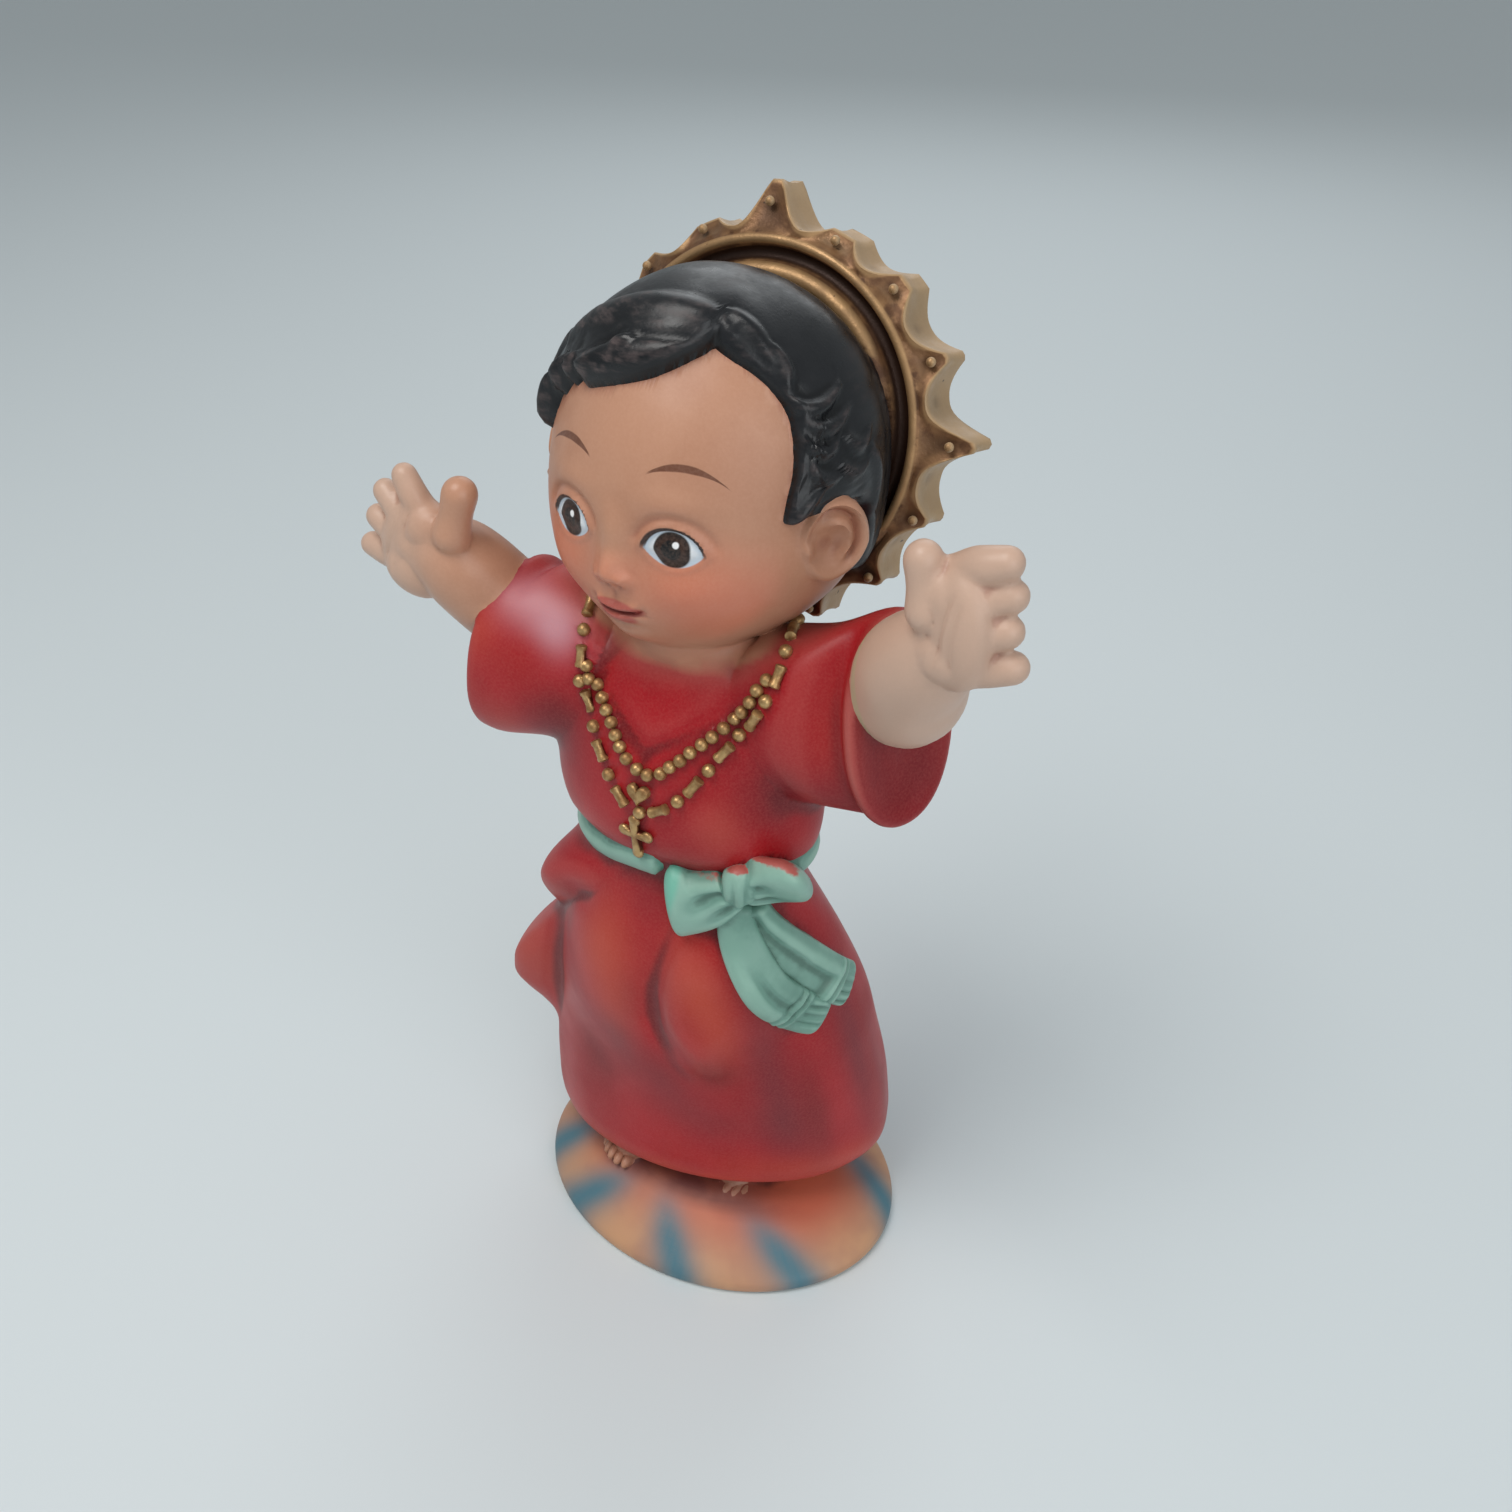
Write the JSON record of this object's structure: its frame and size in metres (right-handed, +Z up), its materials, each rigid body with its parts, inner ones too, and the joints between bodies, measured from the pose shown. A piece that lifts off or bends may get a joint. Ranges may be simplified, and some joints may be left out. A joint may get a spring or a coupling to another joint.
{
  "type": "cast figurine of a child with a rayed halo",
  "caption": "Small one-piece cast figurine of a standing child in a belted robe, arms held out, with a rayed halo behind the head, on an oval base.",
  "frame": {"origin": "centre of the base's flat underside, near the middle of the oval", "axes": "+Z up, the figure faces -Y, its left hand is on the +X side"},
  "size_m": [0.0886, 0.0452, 0.1502],
  "materials": {
    "painted_resin": "satin hand-painted cast resin: crimson robe, green sash, antique gold halo and beads, warm skin, black hair, banded base"
  },
  "bodies": {
    "root": {"cast_figure": "painted_resin"}
  },
  "joints": []
}
